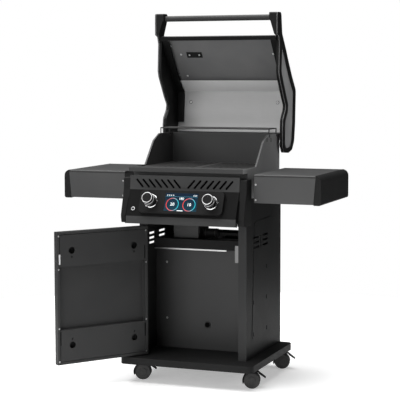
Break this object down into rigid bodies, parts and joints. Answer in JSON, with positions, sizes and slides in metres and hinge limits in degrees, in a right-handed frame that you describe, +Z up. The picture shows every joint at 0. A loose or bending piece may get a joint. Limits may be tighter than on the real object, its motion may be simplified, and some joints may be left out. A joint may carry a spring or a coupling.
{
  "type": "gas barbecue grill",
  "caption": "Freestanding gas barbecue grill: hinged lid, firebox with grids, sloped control panel with knobs and a screen, fold-down side shelves and a cabinet with a door, on casters.",
  "frame": {"origin": "on the ground under the middle of the box of the whole grill, with the lid and the door open as at rest", "axes": "+X to the right of the cook who faces the grill, +Y to the back, +Z up"},
  "size_m": [1.16, 0.927, 1.588],
  "materials": {
    "black_paint": "satin powder coat",
    "charcoal_paint": "satin powder coat",
    "lid_inner_paint": "satin heat-proof paint",
    "cast_aluminium": "black heat-proof coat",
    "plated_plastic": "chrome plated",
    "stainless": "brushed",
    "chrome": "polished",
    "cast_iron": "matt enamel",
    "plastic": "fine grain",
    "display": "glossy screen",
    "brass": "machined"
  },
  "bodies": {
    "cart": {"base_board": "black_paint", "side_panel_left": "black_paint", "side_panel_right": "black_paint", "divider_panel": "charcoal_paint", "deck_shelf": "black_paint", "rear_frame": "black_paint", "door_catch_plate": "stainless", "firebox": "cast_aluminium", "cooking_grid_left": "cast_iron", "cooking_grid_right": "cast_iron", "heat_plate_left": "stainless", "heat_plate_right": "stainless", "burner_left": "stainless", "burner_right": "stainless", "warming_rack": "stainless", "control_panel": "charcoal_paint", "display_bezel": "plastic", "display_screen": "display", "control_cap_left": "plastic", "control_cap_right": "plastic", "knob_ring_left": "chrome", "knob_ring_right": "chrome", "gas_manifold": "brass", "tray_runner_left": "black_paint", "tray_runner_right": "black_paint", "power_pack": "plastic", "lid_hinge_pin_left": "stainless", "lid_hinge_pin_right": "stainless"},
    "door": {"door_panel": "charcoal_paint", "door_bracket_top": "charcoal_paint", "door_bracket_bottom": "charcoal_paint", "door_handle": "stainless"},
    "lid": {"lid_cap_left": "cast_aluminium", "lid_cap_right": "cast_aluminium", "lid_shell": "lid_inner_paint", "lid_heat_shield": "stainless", "lid_handle": "black_paint"},
    "grease_drawer": {"grease_tray": "stainless", "grease_cup": "black_paint"},
    "power_button": {"power_button": "plated_plastic"},
    "knob_spindle_left": {"knob_spindle_left": "brass"},
    "knob_left": {"knob_left": "plated_plastic"},
    "shelf_left": {"shelf_left": "charcoal_paint", "shelf_end_left": "plastic"},
    "knob_spindle_right": {"knob_spindle_right": "brass"},
    "knob_right": {"knob_right": "plated_plastic"},
    "shelf_right": {"shelf_right": "charcoal_paint", "shelf_end_right": "plastic"},
    "caster_front_left": {"caster_housing_front_left": "plastic"},
    "wheel_front_left": {"caster_wheel_front_left": "plastic"},
    "brake_front_left": {"brake_lever_front_left": "plastic"},
    "caster_front_right": {"caster_housing_front_right": "plastic"},
    "wheel_front_right": {"caster_wheel_front_right": "plastic"},
    "brake_front_right": {"brake_lever_front_right": "plastic"},
    "caster_rear_left": {"caster_housing_rear_left": "plastic"},
    "wheel_rear_left": {"caster_wheel_rear_left": "plastic"},
    "brake_rear_left": {"brake_lever_rear_left": "plastic"},
    "caster_rear_right": {"caster_housing_rear_right": "plastic"},
    "wheel_rear_right": {"caster_wheel_rear_right": "plastic"},
    "brake_rear_right": {"brake_lever_rear_right": "plastic"}
  },
  "joints": [
    {"name": "lid_hinge", "type": "hinge", "parent": "cart", "child": "lid", "pos_m": [0, 0.30621, 1.01], "axis": [1, 0, 0], "range_deg": [0, 88]},
    {"name": "door_hinge", "type": "hinge", "parent": "cart", "child": "door", "pos_m": [-0.212, -0.10579, 0.4], "axis": [0, 0, 1], "range_deg": [0, 125.5]},
    {"name": "grease_drawer_slide", "type": "slide", "parent": "cart", "child": "grease_drawer", "axis": [0, 1, 0], "range_m": [0, 0.28]},
    {"name": "power_button_press", "type": "slide", "parent": "cart", "child": "power_button", "axis": [0, 0.9143, -0.4051], "range_m": [0, 0.002], "stiffness_N_per_m": 600, "springref_m": -0.001},
    {"name": "knob_push_left", "type": "slide", "parent": "cart", "child": "knob_spindle_left", "axis": [0, 0.9143, -0.4051], "range_m": [0, 0.004], "stiffness_N_per_m": 1200, "springref_m": -0.002},
    {"name": "knob_turn_left", "type": "hinge", "parent": "knob_spindle_left", "child": "knob_left", "pos_m": [-0.1345, -0.26277, 0.81115], "axis": [0, -0.9143, 0.4051], "range_deg": [0, 180]},
    {"name": "shelf_fold_left", "type": "hinge", "parent": "cart", "child": "shelf_left", "pos_m": [-0.2915, 0.08091, 0.7886], "axis": [0, -1, 0], "range_deg": [0, 90]},
    {"name": "knob_push_right", "type": "slide", "parent": "cart", "child": "knob_spindle_right", "axis": [0, 0.9143, -0.4051], "range_m": [0, 0.004], "stiffness_N_per_m": 1200, "springref_m": -0.002},
    {"name": "knob_turn_right", "type": "hinge", "parent": "knob_spindle_right", "child": "knob_right", "pos_m": [0.1345, -0.26277, 0.81115], "axis": [0, -0.9143, 0.4051], "range_deg": [0, 180]},
    {"name": "shelf_fold_right", "type": "hinge", "parent": "cart", "child": "shelf_right", "pos_m": [0.2915, 0.08091, 0.7886], "axis": [0, 1, 0], "range_deg": [0, 90]},
    {"name": "swivel_front_left", "type": "hinge", "parent": "cart", "child": "caster_front_left", "pos_m": [-0.25, -0.09679, 0.0796], "axis": [0, 0, 1], "continuous": true},
    {"name": "roll_front_left", "type": "hinge", "parent": "caster_front_left", "child": "wheel_front_left", "pos_m": [-0.22875, -0.0911, 0.035], "axis": [0.2588, -0.9659, 0], "continuous": true},
    {"name": "brake_press_front_left", "type": "hinge", "parent": "caster_front_left", "child": "brake_front_left", "pos_m": [-0.22875, -0.0911, 0.035], "axis": [-0.2588, 0.9659, 0], "range_deg": [0, 12]},
    {"name": "swivel_front_right", "type": "hinge", "parent": "cart", "child": "caster_front_right", "pos_m": [0.25, -0.09679, 0.0796], "axis": [0, 0, 1], "continuous": true},
    {"name": "roll_front_right", "type": "hinge", "parent": "caster_front_right", "child": "wheel_front_right", "pos_m": [0.27125, -0.0911, 0.035], "axis": [0.2588, -0.9659, 0], "continuous": true},
    {"name": "brake_press_front_right", "type": "hinge", "parent": "caster_front_right", "child": "brake_front_right", "pos_m": [0.27125, -0.0911, 0.035], "axis": [-0.2588, 0.9659, 0], "range_deg": [0, 12]},
    {"name": "swivel_rear_left", "type": "hinge", "parent": "cart", "child": "caster_rear_left", "pos_m": [-0.25, 0.32121, 0.0796], "axis": [0, 0, 1], "continuous": true},
    {"name": "roll_rear_left", "type": "hinge", "parent": "caster_rear_left", "child": "wheel_rear_left", "pos_m": [-0.22875, 0.3269, 0.035], "axis": [0.2588, -0.9659, 0], "continuous": true},
    {"name": "brake_press_rear_left", "type": "hinge", "parent": "caster_rear_left", "child": "brake_rear_left", "pos_m": [-0.22875, 0.3269, 0.035], "axis": [-0.2588, 0.9659, 0], "range_deg": [0, 12]},
    {"name": "swivel_rear_right", "type": "hinge", "parent": "cart", "child": "caster_rear_right", "pos_m": [0.25, 0.32121, 0.0796], "axis": [0, 0, 1], "continuous": true},
    {"name": "roll_rear_right", "type": "hinge", "parent": "caster_rear_right", "child": "wheel_rear_right", "pos_m": [0.27125, 0.3269, 0.035], "axis": [0.2588, -0.9659, 0], "continuous": true},
    {"name": "brake_press_rear_right", "type": "hinge", "parent": "caster_rear_right", "child": "brake_rear_right", "pos_m": [0.27125, 0.3269, 0.035], "axis": [-0.2588, 0.9659, 0], "range_deg": [0, 12]}
  ]
}
